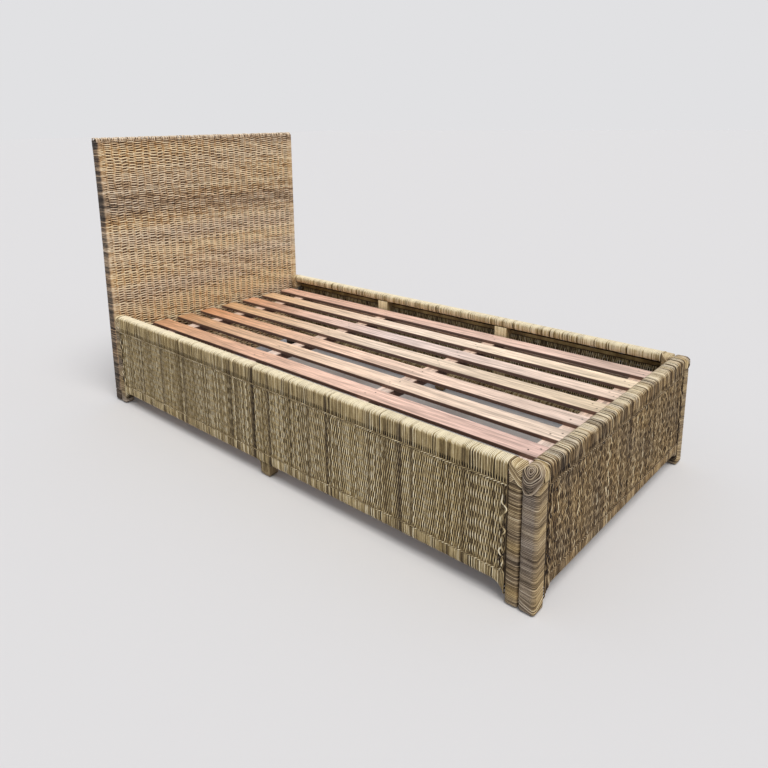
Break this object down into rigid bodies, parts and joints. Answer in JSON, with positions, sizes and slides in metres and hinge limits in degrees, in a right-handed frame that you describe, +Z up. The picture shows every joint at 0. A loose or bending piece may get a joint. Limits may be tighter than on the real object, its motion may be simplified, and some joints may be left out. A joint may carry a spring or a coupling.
{
  "type": "single bed",
  "caption": "Single bed of wrapped poles and woven cane: a tall flat headboard, low side panels and footboard bolted post to post, and a lengthwise slat deck on cross bearers.",
  "frame": {"origin": "centre of the bed's footprint, on the floor", "axes": "+Z up, +Y towards the headboard, X across the bed"},
  "size_m": [1.015, 2.005, 1.105],
  "materials": {
    "side_cane": "woven olive and straw rattan core, matt, undyed",
    "footboard_cane": "woven brown and olive rattan core, matt, undyed",
    "headboard_cane": "woven warm tan rattan core, matt, undyed",
    "post_cane": "rattan core wound close round the posts, matt",
    "upright_cane": "straw rattan core laid close along the uprights, matt",
    "slat_wood": "planed pink to tan hardwood, bare",
    "bearer_wood": "sawn pale hardwood, bare",
    "frame_wood": "planed poles, hidden under the cane",
    "steel": "zinc plated"
  },
  "bodies": {
    "root": {"headboard_left_post": "frame_wood", "headboard_right_post": "frame_wood", "headboard_top_rail": "frame_wood", "headboard_middle_rail": "frame_wood", "headboard_bottom_rail": "frame_wood", "headboard_centre_upright": "frame_wood", "headboard_weave": "headboard_cane", "headboard_border": "headboard_cane", "headboard_left_foot_wrap": "post_cane", "headboard_right_foot_wrap": "post_cane", "footboard_left_post": "frame_wood", "footboard_right_post": "frame_wood", "footboard_left_wrap": "post_cane", "footboard_right_wrap": "post_cane", "footboard_top_rail": "frame_wood", "footboard_bottom_rail": "frame_wood", "footboard_upright": "upright_cane", "footboard_weave": "footboard_cane", "left_foot_post": "frame_wood", "left_head_post": "frame_wood", "left_foot_post_wrap": "post_cane", "left_head_post_wrap": "post_cane", "left_top_rail": "frame_wood", "left_bottom_rail": "frame_wood", "left_foot_upright": "upright_cane", "left_head_upright": "upright_cane", "left_middle_foot": "post_cane", "left_weave": "side_cane", "left_ledger": "bearer_wood", "right_foot_post": "frame_wood", "right_head_post": "frame_wood", "right_foot_post_wrap": "post_cane", "right_head_post_wrap": "post_cane", "right_top_rail": "frame_wood", "right_bottom_rail": "frame_wood", "right_foot_upright": "upright_cane", "right_head_upright": "upright_cane", "right_middle_foot": "post_cane", "right_weave": "side_cane", "right_ledger": "bearer_wood", "slat_1": "slat_wood", "slat_2": "slat_wood", "slat_3": "slat_wood", "slat_4": "slat_wood", "slat_5": "slat_wood", "slat_6": "slat_wood", "slat_7": "slat_wood", "slat_8": "slat_wood", "bearer_1": "bearer_wood", "bearer_2": "bearer_wood", "bearer_3": "bearer_wood", "bearer_4": "bearer_wood", "slat_nails": "steel", "deck_screws": "steel", "bed_bolts": "steel", "bolt_washers": "steel", "threaded_inserts": "steel"}
  },
  "joints": []
}
